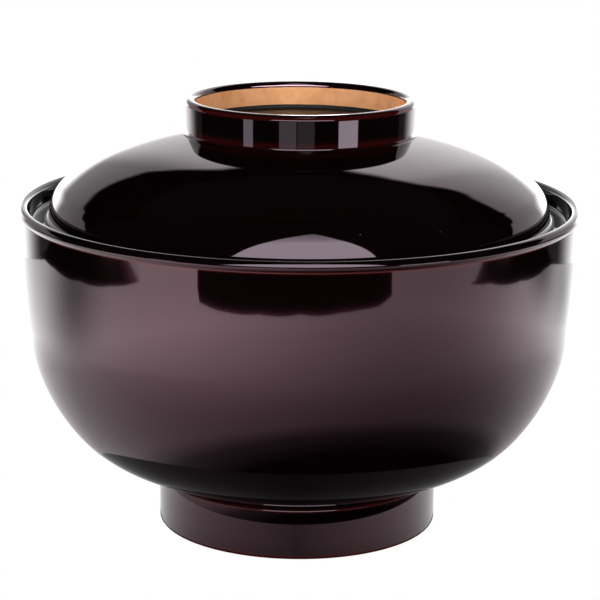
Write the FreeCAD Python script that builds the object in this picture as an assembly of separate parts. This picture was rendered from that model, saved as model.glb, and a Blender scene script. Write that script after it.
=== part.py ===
"""Lacquered rice bowl with a drop-in lid, drawn as turned profiles.

Frame: millimetres, +Z up, origin at the centre of the foot ring's standing plane.
Every piece is a solid of revolution about Z. Each profile is a chain of straight lines and
tangent arcs drawn with the material on its left, so a coat is the band between two insets of it.
"""

import math
import os

import FreeCAD
import Part

# ---- Bowl ---------------------------------------------------------------
rim_radius = 60.0          # widest radius, at the rolled lip
bowl_height = 70.5         # standing plane to the lip's crest
lip_round = 1.13           # half the thickness of the rolled lip
lip_root_angle = 35.0      # where the lip's round starts, above the horizontal
lip_root_fillet = 0.4      # hollow between the wall and the lip
wall_lean = 2.7            # outward lean of the straight wall, degrees from vertical
belly_upper_ratio = 0.672  # upper belly radius over the rim radius
belly_break = 39.5         # lean at which the belly tightens, degrees from vertical
underside_rise = 6.5       # slope of the underside above the foot, degrees
foot_radius = 30.1         # outside of the foot ring
foot_height = 11.0         # foot wall, up to its rounded shoulder
foot_thickness = 3.6       # foot ring at its standing edge
foot_round = 0.8           # rounding of the standing edge, both sides
foot_draft = 4.0           # lean of the foot's inner wall
foot_shoulder = 0.6        # rounding at the top of the foot wall
foot_cove = 1.1            # groove between foot and underside
foot_cove_run = 1.8        # underside left straight between groove and belly
recess_fillet = 2.0        # inside corner under the bowl
bottom_thickness = 7.0     # wood left between the inside and the foot recess

# ---- Lid seat in the bowl's mouth ----------------------------------------
seat_depth = 4.4           # lip crest down to the seat
seat_cove = 1.0            # inside corner of the seat
seat_edge = 0.6            # rounding where the seat meets the inner wall
seat_overlap = 0.7         # flat of the seat under the lid's standing edge
mouth_lean = 4.0           # lean of the short wall above the seat
lid_gap = 3.3              # ring of air between the lid's bead and the mouth
seat_clearance = 0.05      # lid above seat, so that two lacquered faces never fuse

# ---- Lid ------------------------------------------------------------------
lid_bead = 1.0             # round bead on the lid's edge
lid_bead_reach = 0.95      # bead beyond the lid's wall
lid_crease = 0.15          # hollow where the wall meets the bead
lid_thickness = 3.2        # turned wall of the lid
lid_inner_round = 0.8      # inner corner of the lid's standing edge
shoulder_ratio = 0.1506    # lid shoulder radius over the lid radius
flank_ratio = 0.764        # lid flank radius over the lid radius
crown_ratio = 1.484        # lid crown radius over the lid radius
shoulder_turn = 50.3       # degrees turned by the shoulder
flank_turn = 19.7          # degrees turned by the flank
ring_radius = 24.7         # grip ring, outside, at its crest
ring_rise_ratio = 22.3 / 60 # ring's crest above the lip's crest, over the rim radius
ring_round = 1.18          # half the thickness of the ring, rounded over the top
ring_lean = 2.0            # outward lean of the ring's outer wall
ring_root = 0.8            # fillet between dome and ring
recess_depth = 6.0         # ring crest down to the floor inside it
recess_corner = 1.0        # fillet around that floor

# ---- Coats ----------------------------------------------------------------
top_coat = 0.25            # clear amber lacquer
red_coat = 0.25            # red lacquer and its ground, under the amber
full_coat = top_coat + red_coat

AXIS_POINT = FreeCAD.Vector(0, 0, 0)
AXIS = FreeCAD.Vector(0, 0, 1)


def sin(degrees):
    return math.sin(math.radians(degrees))


def cos(degrees):
    return math.cos(math.radians(degrees))


# A move is (length, 0) for a line, or (radius, turn) for an arc; a left turn is positive.
def step(heading, move):
    """Run and rise of one move, and the heading after it."""
    size, turn = move
    if turn == 0:
        return size * cos(heading), size * sin(heading), heading
    side = math.copysign(1.0, turn)
    after = heading + turn
    run = side * size * (sin(after) - sin(heading))
    rise = side * size * (cos(heading) - cos(after))
    return run, rise, after


def span(heading, moves):
    """Total run and rise of a chain of moves."""
    run = rise = 0.0
    for move in moves:
        dr, dz, heading = step(heading, move)
        run += dr
        rise += dz
    return run, rise


class Path:
    """A stretch of a turned outline: start point, start heading and moves."""

    def __init__(self, start, heading, moves):
        self.start = start
        self.heading = heading
        self.moves = moves

    def end(self):
        run, rise = span(self.heading, self.moves)
        return self.start[0] + run, self.start[1] + rise

    def trace(self, inset):
        """Edges of the path moved into the material by inset, with its two end points."""
        heading = self.heading
        r = self.start[0] - inset * sin(heading)
        z = self.start[1] + inset * cos(heading)
        first = point(r, z)
        edges = []
        here = first
        for size, turn in self.moves:
            if turn:
                size -= math.copysign(inset, turn)
                mid_r, mid_z, _ = step(heading, (size, turn / 2))
                middle = point(r + mid_r, z + mid_z)
            dr, dz, heading = step(heading, (size, turn))
            r += dr
            z += dz
            there = point(max(r, 0.0), z)
            if turn:
                edges.append(Part.Arc(here, middle, there).toShape())
            else:
                edges.append(Part.LineSegment(here, there).toShape())
            here = there
        return edges, first, here


def point(r, z):
    return FreeCAD.Vector(0.0 if abs(r) < 1e-9 else r, 0, z)


def turned(edges):
    """Solid of revolution from the edges of a closed profile."""
    wire = Part.Wire(Part.__sortEdges__(edges))
    solid = Part.Face(wire).revolve(AXIS_POINT, AXIS, 360)
    return Part.Solid(solid.Shells[0]) if solid.ShapeType != "Solid" else solid


def coat(path, outer, inner):
    """Layer of a coat between two depths below the finished surface."""
    top, top_a, top_b = path.trace(outer)
    low, low_a, low_b = path.trace(inner)
    ends = [Part.makeLine(top_a, low_a), Part.makeLine(top_b, low_b)]
    return turned(top + low + ends)


def core(paths, depth):
    """Turned body under the coats, from the paths of its outline in order."""
    edges = []
    for path in paths:
        part, first, last = path.trace(depth)
        if not edges:
            start = first
        edges += part
    edges.append(Part.makeLine(last, start))
    return turned(edges)


# ---- Bowl outline ------------------------------------------------------------
seat_height = bowl_height - seat_depth
lid_radius = rim_radius - 2 * lip_round - lid_gap
bead_centre = lid_radius - lid_bead
inner_wall_top = bead_centre - seat_overlap - seat_edge
lip_centre = (rim_radius - lip_round, bowl_height - lip_round)
foot_flat_outer = foot_radius - foot_round
foot_flat_inner = foot_radius - foot_thickness + foot_round
upper_belly = belly_upper_ratio * rim_radius
root_heading = 90.0 - wall_lean
break_heading = 90.0 - belly_break


def foot_moves():
    """Standing edge, foot wall, shoulder and groove."""
    shoulder_turned = 60.0
    wall = foot_height - foot_round - foot_shoulder * sin(shoulder_turned)
    return [
        (foot_round, 90.0),
        (wall, 0),
        (foot_shoulder, shoulder_turned),
        (foot_cove, underside_rise - 90.0 - shoulder_turned),
    ]


def lip_root():
    """Top of the straight wall, where the hollow under the lip starts."""
    run, rise = span(root_heading, [(lip_root_fillet, lip_root_angle - root_heading)])
    r = lip_centre[0] + lip_round * sin(lip_root_angle) - run
    z = lip_centre[1] - lip_round * cos(lip_root_angle) - rise
    return r, z


def belly():
    """Lower belly radius and straight wall that join the foot to the lip."""
    run, rise = span(0.0, foot_moves())
    foot_top = (foot_flat_outer + run, rise)
    foot_end = (
        foot_top[0] + foot_cove_run * cos(underside_rise),
        foot_top[1] + foot_cove_run * sin(underside_rise),
    )
    root = lip_root()
    upper = span(break_heading, [(upper_belly, root_heading - break_heading)])
    unit = span(underside_rise, [(1.0, break_heading - underside_rise)])
    # Two unknowns, lower radius and wall length, from the run and the rise still to cover.
    run = root[0] - foot_end[0] - upper[0]
    rise = root[1] - foot_end[1] - upper[1]
    wall_run = cos(root_heading)
    wall_rise = sin(root_heading)
    scale = unit[0] * wall_rise - unit[1] * wall_run
    lower = (run * wall_rise - rise * wall_run) / scale
    wall = (rise * unit[0] - run * unit[1]) / scale
    return lower, wall


lower_belly, straight_wall = belly()


def wall_at(z):
    """Radius of the straight outer wall, or of its line carried on, at a height."""
    r, top = lip_root()
    return r - (top - z) * sin(wall_lean) / cos(wall_lean)


inner_wall_height = seat_height - seat_edge
wall_thickness = (wall_at(inner_wall_height) - inner_wall_top) * cos(wall_lean)


def bowl_outside():
    """From the standing edge of the foot up to the lip's crest."""
    return Path((foot_flat_outer, 0.0), 0.0, foot_moves() + [
        (foot_cove_run, 0),
        (lower_belly, break_heading - underside_rise),
        (upper_belly, root_heading - break_heading),
        (straight_wall, 0),
        (lip_root_fillet, lip_root_angle - root_heading),
        (lip_round, 180.0 - lip_root_angle),
    ])


def bowl_inside():
    """From the lip's crest over the lid seat and down to the centre of the inside."""
    down = 270.0 - wall_lean
    lower = (lower_belly - wall_thickness, underside_rise - break_heading)
    upper = (upper_belly - wall_thickness, break_heading - root_heading)
    mouth = (lip_round, 90.0 - mouth_lean)
    cove = (seat_cove, mouth_lean - 90.0)
    edge = (seat_edge, 90.0 - wall_lean)
    _, mouth_drop = span(180.0, [mouth])
    _, cove_drop = span(270.0 - mouth_lean, [cove])
    mouth_wall = (seat_depth + mouth_drop + cove_drop) / cos(mouth_lean)
    above = [mouth, (mouth_wall, 0), cove]
    run, _ = span(180.0, above)
    cove_end = lip_centre[0] + run
    # The inner wall runs beside the outer one, and their bellies share centres.
    edge_run, edge_drop = span(180.0, [edge])
    seat = cove_end + edge_run - inner_wall_top
    belly_top = lip_root()[1] - straight_wall * cos(wall_lean) + wall_thickness * sin(wall_lean)
    wall = (seat_height + edge_drop - belly_top) / cos(wall_lean)
    curve = [upper, lower]
    run, _ = span(down, [(wall, 0)] + curve)
    bottom = ((inner_wall_top + run) / sin(underside_rise), -underside_rise)
    moves = above + [(seat, 0), edge, (wall, 0)] + curve + [bottom]
    return Path((lip_centre[0], bowl_height), 180.0, moves)


def foot_edge():
    """Flat ring that the bowl stands on."""
    return Path((foot_flat_inner, 0.0), 0.0, [(foot_flat_outer - foot_flat_inner, 0)])


def foot_recess():
    """From the centre of the underside out and down to the standing edge."""
    ceiling = bowl_inside().end()[1] - bottom_thickness
    turn = 90.0 - foot_draft
    corner = (recess_fillet, -turn)
    toe = (foot_round, turn)
    fixed_run, fixed_rise = span(0.0, [corner])
    toe_run, toe_rise = span(-turn, [toe])
    wall = (ceiling + fixed_rise + toe_rise) / sin(turn)
    run = fixed_run + wall * cos(turn) + toe_run
    return Path((0.0, ceiling), 0.0, [(foot_flat_inner - run, 0), corner, (wall, 0), toe])


# ---- Lid outline ---------------------------------------------------------------
lid_foot = seat_height + seat_clearance
lid_wall = lid_radius - lid_bead_reach
shoulder = shoulder_ratio * lid_radius
flank = flank_ratio * lid_radius
crown = crown_ratio * lid_radius
shoulder_heading = 90.0 + shoulder_turn
flank_heading = shoulder_heading + flank_turn
ring_top = bowl_height + ring_rise_ratio * rim_radius
ring_wall_heading = 90.0 - ring_lean


def bead_moves():
    """Round bead at the edge, up to the vertical wall of the lid."""
    # The crease arc ends upright on the wall: it leaves the bead where both are tangent.
    offset = (lid_wall + lid_crease - bead_centre) / (lid_bead + lid_crease)
    leave = 180.0 - math.degrees(math.asin(offset))
    return [(lid_bead, leave), (lid_crease, 90.0 - leave)]


def dome_moves(shoulder_r, flank_r):
    return [(shoulder_r, shoulder_turn), (flank_r, flank_turn)]


def lid_outside():
    """From the bottom of the bead over the dome and the ring's crest to its inner wall."""
    rise = bead_moves() + dome_moves(shoulder, flank)
    run, height = span(0.0, rise)
    dome_r = bead_centre + run
    dome_z = lid_foot + height
    top_run, top_rise = span(ring_wall_heading, [(ring_round, 180.0 + ring_lean)])
    crest_rise = ring_round * (1.0 + sin(ring_lean))
    wall_top = ring_radius - ring_round * (1.0 - cos(ring_lean))
    # The ring's wall leans, so its foot and the end of the crown are found together.
    crown_end = flank_heading
    for _ in range(30):
        crown_moves = [(crown, crown_end - flank_heading)]
        root = [(ring_root, ring_wall_heading - crown_end)]
        _, crown_rise = span(flank_heading, crown_moves)
        root_run, root_rise = span(crown_end, root)
        wall = ring_top - crest_rise - dome_z - crown_rise - root_rise
        foot_r = wall_top - wall * sin(ring_lean) / cos(ring_lean)
        target = sin(flank_heading) + (foot_r - root_run - dome_r) / crown
        crown_end = 180.0 - math.degrees(math.asin(target))
    moves = rise + crown_moves + root
    moves += [(wall / cos(ring_lean), 0), (ring_round, 180.0 + ring_lean)]
    return Path((bead_centre, lid_foot), 0.0, moves)


def lid_inside():
    """From the centre of the underside down to the bottom of the bead."""
    inner = [
        (crown - lid_thickness, -(180.0 - flank_heading) / 2),
        (flank - lid_thickness, -flank_turn),
        (shoulder - lid_thickness, -shoulder_turn),
    ]
    edge_run = bead_centre - (lid_wall - lid_thickness)
    toe = (lid_inner_round, 90.0)
    first = -(180.0 - flank_heading) / 2
    run, _ = span(first, inner)
    cap_end = lid_wall - lid_thickness - run
    cap = (cap_end / -sin(first), first)
    _, bead_rise = span(0.0, bead_moves())
    wall = bead_rise - lid_inner_round
    moves = [cap] + inner + [(wall, 0), toe, (edge_run - lid_inner_round, 0)]
    _, rise = span(0.0, moves)
    return Path((0.0, lid_foot - rise), 0.0, moves)


def ring_wall():
    """Inner wall of the grip ring, which carries the gilding."""
    inner_r = ring_radius - 2 * ring_round
    drop = recess_depth - ring_round - recess_corner
    return Path((inner_r, ring_top - ring_round), 270.0, [(drop, 0)])


def ring_floor():
    """Corner and floor inside the grip ring, in to the centre."""
    inner_r = ring_radius - 2 * ring_round
    start = (inner_r, ring_top - recess_depth + recess_corner)
    return Path(start, 270.0, [(recess_corner, -90.0), (inner_r - recess_corner, 0)])


# ---- Pieces -------------------------------------------------------------------
def bowl_pieces():
    outside = bowl_outside()
    inside = bowl_inside()
    edge = foot_edge()
    recess = foot_recess()
    return {
        "bowl_wood_core": core([recess, edge, outside, inside], full_coat),
        "bowl_red_undercoat": coat(outside, top_coat, full_coat),
        "bowl_amber_topcoat": coat(outside, 0.0, top_coat),
        "bowl_black_inside": coat(inside, 0.0, full_coat),
        "bowl_foot_recess_coat": coat(recess, 0.0, full_coat),
        "bowl_foot_edge_coat": coat(edge, 0.0, full_coat),
    }


def lid_pieces():
    inside = lid_inside()
    outside = lid_outside()
    wall = ring_wall()
    floor = ring_floor()
    return {
        "lid_wood_core": core([inside, outside, wall, floor], full_coat),
        "lid_red_undercoat": coat(outside, top_coat, full_coat),
        "lid_amber_topcoat": coat(outside, 0.0, top_coat),
        "lid_black_underside": coat(inside, 0.0, full_coat),
        "lid_ring_gilding": coat(wall, 0.0, full_coat),
        "lid_ring_floor_coat": coat(floor, 0.0, full_coat),
    }


os.makedirs("parts", exist_ok=True)
for name, shape in {**bowl_pieces(), **lid_pieces()}.items():
    if not shape.isValid() or shape.Volume <= 0:
        raise ValueError(name + " is not a valid solid")
    shape.exportStep("parts/" + name + ".step")
    box = shape.BoundBox
    print(name, round(shape.Volume), round(box.XLength, 2), round(box.ZMin, 2), round(box.ZMax, 2))
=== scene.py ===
"""Lidded lacquer rice bowl: finished coats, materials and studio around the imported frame."""

import math
import bmesh
import bpy
from bpy.props import FloatProperty, FloatVectorProperty, PointerProperty
from mathutils import Matrix, Vector


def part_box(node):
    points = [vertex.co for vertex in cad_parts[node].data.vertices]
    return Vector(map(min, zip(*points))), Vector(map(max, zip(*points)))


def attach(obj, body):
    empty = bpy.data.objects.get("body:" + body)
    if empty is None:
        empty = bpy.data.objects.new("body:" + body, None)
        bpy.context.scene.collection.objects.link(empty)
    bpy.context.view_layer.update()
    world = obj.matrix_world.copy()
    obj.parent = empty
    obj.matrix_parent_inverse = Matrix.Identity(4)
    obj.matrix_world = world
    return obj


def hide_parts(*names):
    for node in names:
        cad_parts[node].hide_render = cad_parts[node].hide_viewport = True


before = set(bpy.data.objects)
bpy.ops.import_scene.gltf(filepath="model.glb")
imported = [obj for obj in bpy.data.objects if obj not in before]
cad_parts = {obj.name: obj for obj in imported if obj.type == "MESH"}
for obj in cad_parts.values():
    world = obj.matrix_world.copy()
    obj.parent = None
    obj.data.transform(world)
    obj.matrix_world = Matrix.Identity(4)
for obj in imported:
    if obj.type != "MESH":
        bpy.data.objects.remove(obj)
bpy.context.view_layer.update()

bl_info = {
    "name": "Lidded Lacquer Bowl",
    "version": (1, 0, 0),
    "blender": (4, 5, 0),
    "location": "View3D > Sidebar > Lacquer Bowl",
    "description": "Turned coats, materials and studio for a lidded lacquer bowl",
    "category": "Object",
}

MM = 0.001
QUARTER = math.pi / 2
TURN_STEPS = 256           # facets round the axis
ARC_STEP = math.radians(3) # turn of one facet of a profile's arc
LEAST_ARC_STEPS = 4        # facets of even the shortest arc
LINE_STEP = 4 * MM         # length of one facet of a profile's line
SEAM = 0.002 * MM          # points of a turned skin nearer than this are one
SMOOTH_BELOW = math.radians(40)  # edges that turn less than this are shaded round

BOWL_LOW, BOWL_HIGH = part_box("bowl_amber_topcoat")
LID_LOW, LID_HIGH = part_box("lid_amber_topcoat")


def linear(code):
    """Linear RGBA of an sRGB hex colour."""
    parts = [int(code[i : i + 2], 16) / 255 for i in (1, 3, 5)]
    return [c / 12.92 if c <= 0.04045 else ((c + 0.055) / 1.055) ** 2.4 for c in parts] + [1.0]


def length(name, words, default):
    return FloatProperty(name=name, description=words, default=default, unit="LENGTH", precision=5)


def angle(name, words, degrees):
    return FloatProperty(
        name=name, description=words, default=math.radians(degrees), subtype="ANGLE"
    )


def ratio(name, words, default):
    return FloatProperty(name=name, description=words, default=default, subtype="FACTOR")


def colour(name, words, code):
    return FloatVectorProperty(
        name=name, description=words, default=linear(code), size=4, min=0, max=1, subtype="COLOR"
    )


class BowlSizes(bpy.types.PropertyGroup):
    rim_radius: length("Rim radius", "Widest radius, at the rolled lip", round(BOWL_HIGH.x, 4))
    height: length("Height", "Standing plane to the lip's crest", round(BOWL_HIGH.z, 5))
    lip_round: length("Lip round", "Half the thickness of the rolled lip", 1.13 * MM)
    lip_root_angle: angle("Lip root", "Where the lip's round starts, above level", 35)
    lip_root_fillet: length("Lip hollow", "Hollow between wall and lip", 0.4 * MM)
    wall_lean: angle("Wall lean", "Outward lean of the straight wall", 2.7)
    belly_upper_ratio: ratio("Upper belly", "Upper belly radius over the rim radius", 0.672)
    belly_break: angle("Belly break", "Lean at which the belly tightens", 39.5)
    underside_rise: angle("Underside rise", "Slope of the underside above the foot", 6.5)
    foot_radius: length("Foot radius", "Outside of the foot ring", 30.1 * MM)
    foot_height: length("Foot height", "Foot wall up to its shoulder", 11.0 * MM)
    foot_thickness: length("Foot thickness", "Foot ring at its standing edge", 3.6 * MM)
    foot_round: length("Foot round", "Rounding of the standing edge", 0.8 * MM)
    foot_draft: angle("Foot draft", "Lean of the foot's inner wall", 4)
    foot_shoulder: length("Foot shoulder", "Rounding at the top of the foot wall", 0.6 * MM)
    foot_cove: length("Foot groove", "Groove between foot and underside", 1.1 * MM)
    foot_cove_run: length("Groove run", "Straight underside beside the groove", 1.8 * MM)
    recess_fillet: length("Recess corner", "Inside corner under the bowl", 2.0 * MM)
    bottom_thickness: length("Bottom", "Thickness between inside and recess", 7.0 * MM)
    seat_depth: length("Seat depth", "Lip's crest down to the lid seat", 4.4 * MM)
    seat_cove: length("Seat corner", "Inside corner of the seat", 1.0 * MM)
    seat_edge: length("Seat edge", "Rounding where seat meets wall", 0.6 * MM)
    seat_overlap: length("Seat overlap", "Seat under the lid's standing edge", 0.7 * MM)
    mouth_lean: angle("Mouth lean", "Lean of the wall above the seat", 4)


class LidSizes(bpy.types.PropertyGroup):
    gap: length("Gap", "Ring of air between lid and mouth", 3.3 * MM)
    standing: length("Standing edge", "Height of the lid's standing edge", round(LID_LOW.z, 5))
    bead: length("Bead", "Round bead on the lid's edge", 1.0 * MM)
    bead_reach: length("Bead reach", "Bead beyond the lid's wall", 0.95 * MM)
    crease: length("Crease", "Hollow where wall meets bead", 0.15 * MM)
    thickness: length("Thickness", "Turned wall of the lid", 3.2 * MM)
    inner_round: length("Inner round", "Inner corner of the standing edge", 0.8 * MM)
    shoulder_ratio: ratio("Shoulder", "Shoulder radius over lid radius", 0.1506)
    flank_ratio: ratio("Flank", "Flank radius over lid radius", 0.764)
    crown_ratio: ratio("Crown", "Crown radius over lid radius", 1.484)
    shoulder_turn: angle("Shoulder turn", "Angle turned by the shoulder", 50.3)
    flank_turn: angle("Flank turn", "Angle turned by the flank", 19.7)
    ring_radius: length("Ring radius", "Grip ring outside, at its crest", 24.7 * MM)
    ring_top: length("Ring top", "Height of the ring's crest", round(LID_HIGH.z, 5))
    ring_round: length("Ring round", "Half the thickness of the ring", 1.18 * MM)
    ring_lean: angle("Ring lean", "Outward lean of the ring's wall", 2)
    ring_root: length("Ring root", "Fillet between dome and ring", 0.8 * MM)
    recess_depth: length("Ring recess", "Ring's crest down to its floor", 6.0 * MM)
    recess_corner: length("Recess corner", "Fillet round that floor", 1.0 * MM)


class CoatLook(bpy.types.PropertyGroup):
    top_coat: length("Top coat", "Thickness of the clear amber coat", 0.25 * MM)
    full_coat: length("Full coat", "Thickness of all coats together", 0.5 * MM)
    amber: colour("Amber over red", "Body colour of the outside", "#030101")
    amber_glow: colour("Red glow", "Colour where the amber coat thins at an edge", "#4A0E0A")
    amber_tint: colour("Amber tint", "Tint of the gloss from under the amber coat", "#FF9EBF")
    black: colour("Black", "Body colour of the black lacquer", "#020202")
    gold: colour("Gold", "Colour of the gold powder", "#F2B988")
    wood: colour("Wood", "Colour of the turned wood", "#B9966B")
    red: colour("Red", "Colour of the red undercoat", "#7A1F16")


class StudioSetup(bpy.types.PropertyGroup):
    lens: FloatProperty(
        name="Lens",
        description="Focal length on a 36 mm sensor",
        default=141.5,
        subtype="DISTANCE_CAMERA",
    )
    distance: length("Distance", "Camera in front of the axis", 495.65 * MM)
    camera_height: length("Camera height", "Camera above the table", 169.53 * MM)
    side: length("Sideways", "Camera to the right of the axis", 0.28 * MM)
    pitch: angle("Pitch", "Camera looking down", 13.71)
    roll: angle("Roll", "Camera turned about its view", 0.53)
    paper: colour("Paper", "Colour of the floor and backdrop", "#FFFFFF")


# ---- Turned profiles ---------------------------------------------------------
# A move is (length, 0) for a line, or (radius, turn) for an arc; a left turn is positive.
def step(heading, move):
    """Run and rise of one move, and the heading after it."""
    size, turn = move
    if turn == 0:
        return size * math.cos(heading), size * math.sin(heading), heading
    side = math.copysign(1.0, turn)
    after = heading + turn
    run = side * size * (math.sin(after) - math.sin(heading))
    rise = side * size * (math.cos(heading) - math.cos(after))
    return run, rise, after


def span(heading, moves):
    """Total run and rise of a chain of moves."""
    run = rise = 0.0
    for move in moves:
        dr, dz, heading = step(heading, move)
        run += dr
        rise += dz
    return run, rise


def end_of(path):
    start, heading, moves = path
    run, rise = span(heading, moves)
    return start[0] + run, start[1] + rise


def foot_moves(s):
    """Standing edge, foot wall, shoulder and groove."""
    turned = math.radians(60)
    wall = s.foot_height - s.foot_round - s.foot_shoulder * math.sin(turned)
    return [
        (s.foot_round, QUARTER),
        (wall, 0),
        (s.foot_shoulder, turned),
        (s.foot_cove, s.underside_rise - QUARTER - turned),
    ]


def lip_root(s):
    """Top of the straight wall, where the hollow under the lip starts."""
    heading = QUARTER - s.wall_lean
    run, rise = span(heading, [(s.lip_root_fillet, s.lip_root_angle - heading)])
    r = s.rim_radius - s.lip_round + s.lip_round * math.sin(s.lip_root_angle) - run
    z = s.height - s.lip_round - s.lip_round * math.cos(s.lip_root_angle) - rise
    return r, z


def belly(s):
    """Lower belly radius and straight wall that join the foot to the lip."""
    root_heading = QUARTER - s.wall_lean
    break_heading = QUARTER - s.belly_break
    run, rise = span(0.0, foot_moves(s))
    foot_r = s.foot_radius - s.foot_round + run + s.foot_cove_run * math.cos(s.underside_rise)
    foot_z = rise + s.foot_cove_run * math.sin(s.underside_rise)
    root = lip_root(s)
    upper = span(break_heading, [(s.belly_upper_ratio * s.rim_radius, root_heading - break_heading)])
    unit = span(s.underside_rise, [(1.0, break_heading - s.underside_rise)])
    run = root[0] - foot_r - upper[0]
    rise = root[1] - foot_z - upper[1]
    wall_run = math.cos(root_heading)
    wall_rise = math.sin(root_heading)
    scale = unit[0] * wall_rise - unit[1] * wall_run
    return (run * wall_rise - rise * wall_run) / scale, (rise * unit[0] - run * unit[1]) / scale


def bowl_outside(s):
    """From the standing edge of the foot up to the lip's crest."""
    lower, wall = belly(s)
    root_heading = QUARTER - s.wall_lean
    break_heading = QUARTER - s.belly_break
    moves = foot_moves(s) + [
        (s.foot_cove_run, 0),
        (lower, break_heading - s.underside_rise),
        (s.belly_upper_ratio * s.rim_radius, root_heading - break_heading),
        (wall, 0),
        (s.lip_root_fillet, s.lip_root_angle - root_heading),
        (s.lip_round, math.pi - s.lip_root_angle),
    ]
    return (s.foot_radius - s.foot_round, 0.0), 0.0, moves


def bead_centre(s, lid):
    return s.rim_radius - 2 * s.lip_round - lid.gap - lid.bead


def bowl_inside(s, lid):
    """From the lip's crest over the lid seat and down to the centre of the inside."""
    lower_r, straight = belly(s)
    root_heading = QUARTER - s.wall_lean
    break_heading = QUARTER - s.belly_break
    seat_height = s.height - s.seat_depth
    inner_top = bead_centre(s, lid) - s.seat_overlap - s.seat_edge
    root = lip_root(s)
    outer = root[0] - (root[1] - seat_height + s.seat_edge) * math.tan(s.wall_lean)
    thick = (outer - inner_top) * math.cos(s.wall_lean)
    mouth = (s.lip_round, QUARTER - s.mouth_lean)
    cove = (s.seat_cove, s.mouth_lean - QUARTER)
    edge = (s.seat_edge, QUARTER - s.wall_lean)
    mouth_drop = span(math.pi, [mouth])[1]
    cove_drop = span(3 * QUARTER - s.mouth_lean, [cove])[1]
    mouth_wall = (s.seat_depth + mouth_drop + cove_drop) / math.cos(s.mouth_lean)
    above = [mouth, (mouth_wall, 0), cove]
    cove_end = s.rim_radius - s.lip_round + span(math.pi, above)[0]
    edge_run, edge_drop = span(math.pi, [edge])
    belly_top = root[1] - straight * math.cos(s.wall_lean) + thick * math.sin(s.wall_lean)
    wall = (seat_height + edge_drop - belly_top) / math.cos(s.wall_lean)
    curve = [
        (wall, 0),
        (s.belly_upper_ratio * s.rim_radius - thick, break_heading - root_heading),
        (lower_r - thick, s.underside_rise - break_heading),
    ]
    run = span(3 * QUARTER - s.wall_lean, curve)[0]
    bottom = ((inner_top + run) / math.sin(s.underside_rise), -s.underside_rise)
    moves = above + [(cove_end + edge_run - inner_top, 0), edge] + curve + [bottom]
    return (s.rim_radius - s.lip_round, s.height), math.pi, moves


def foot_edge(s):
    """Flat ring that the bowl stands on."""
    inner = s.foot_radius - s.foot_thickness + s.foot_round
    return (inner, 0.0), 0.0, [(s.foot_radius - s.foot_round - inner, 0)]


def foot_recess(s, lid):
    """From the centre of the underside out and down to the standing edge."""
    ceiling = end_of(bowl_inside(s, lid))[1] - s.bottom_thickness
    turn = QUARTER - s.foot_draft
    corner = (s.recess_fillet, -turn)
    toe = (s.foot_round, turn)
    fixed_run, fixed_rise = span(0.0, [corner])
    toe_run, toe_rise = span(-turn, [toe])
    wall = (ceiling + fixed_rise + toe_rise) / math.sin(turn)
    run = fixed_run + wall * math.cos(turn) + toe_run
    inner = s.foot_radius - s.foot_thickness + s.foot_round
    return (0.0, ceiling), 0.0, [(inner - run, 0), corner, (wall, 0), toe]


def bead_moves(s, lid):
    """Round bead at the edge, up to the upright wall of the lid."""
    wall = s.rim_radius - 2 * s.lip_round - lid.gap - lid.bead_reach
    offset = (wall + lid.crease - bead_centre(s, lid)) / (lid.bead + lid.crease)
    leave = math.pi - math.asin(offset)
    return [(lid.bead, leave), (lid.crease, QUARTER - leave)]


def lid_outside(s, lid):
    """From the bottom of the bead over the dome and the ring's crest."""
    radius = s.rim_radius - 2 * s.lip_round - lid.gap
    crown = lid.crown_ratio * radius
    flank_heading = QUARTER + lid.shoulder_turn + lid.flank_turn
    wall_heading = QUARTER - lid.ring_lean
    rise = bead_moves(s, lid) + [
        (lid.shoulder_ratio * radius, lid.shoulder_turn),
        (lid.flank_ratio * radius, lid.flank_turn),
    ]
    run, height = span(0.0, rise)
    dome_r = bead_centre(s, lid) + run
    dome_z = lid.standing + height
    crest_rise = lid.ring_round * (1 + math.sin(lid.ring_lean))
    wall_top = lid.ring_radius - lid.ring_round * (1 - math.cos(lid.ring_lean))
    crown_end = flank_heading
    for _ in range(30):
        crown_move = (crown, crown_end - flank_heading)
        root = (lid.ring_root, wall_heading - crown_end)
        crown_rise = span(flank_heading, [crown_move])[1]
        root_run, root_rise = span(crown_end, [root])
        wall = lid.ring_top - crest_rise - dome_z - crown_rise - root_rise
        foot_r = wall_top - wall * math.tan(lid.ring_lean)
        target = math.sin(flank_heading) + (foot_r - root_run - dome_r) / crown
        crown_end = math.pi - math.asin(target)
    moves = rise + [crown_move, root, (wall / math.cos(lid.ring_lean), 0)]
    moves.append((lid.ring_round, math.pi + lid.ring_lean))
    return (bead_centre(s, lid), lid.standing), 0.0, moves


def lid_inside(s, lid):
    """From the centre of the underside down to the bottom of the bead."""
    radius = s.rim_radius - 2 * s.lip_round - lid.gap
    wall_r = radius - lid.bead_reach - lid.thickness
    flank_heading = QUARTER + lid.shoulder_turn + lid.flank_turn
    first = (flank_heading - math.pi) / 2
    inner = [
        (lid.crown_ratio * radius - lid.thickness, first),
        (lid.flank_ratio * radius - lid.thickness, -lid.flank_turn),
        (lid.shoulder_ratio * radius - lid.thickness, -lid.shoulder_turn),
    ]
    run = span(first, inner)[0]
    cap = ((wall_r - run) / -math.sin(first), first)
    wall = span(0.0, bead_moves(s, lid))[1] - lid.inner_round
    toe = (lid.inner_round, QUARTER)
    flat = bead_centre(s, lid) - wall_r - lid.inner_round
    moves = [cap] + inner + [(wall, 0), toe, (flat, 0)]
    return (0.0, lid.standing - span(0.0, moves)[1]), 0.0, moves


def ring_wall(lid):
    """Inner wall of the grip ring, which carries the gilding."""
    inner = lid.ring_radius - 2 * lid.ring_round
    drop = lid.recess_depth - lid.ring_round - lid.recess_corner
    return (inner, lid.ring_top - lid.ring_round), 3 * QUARTER, [(drop, 0)]


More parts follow.
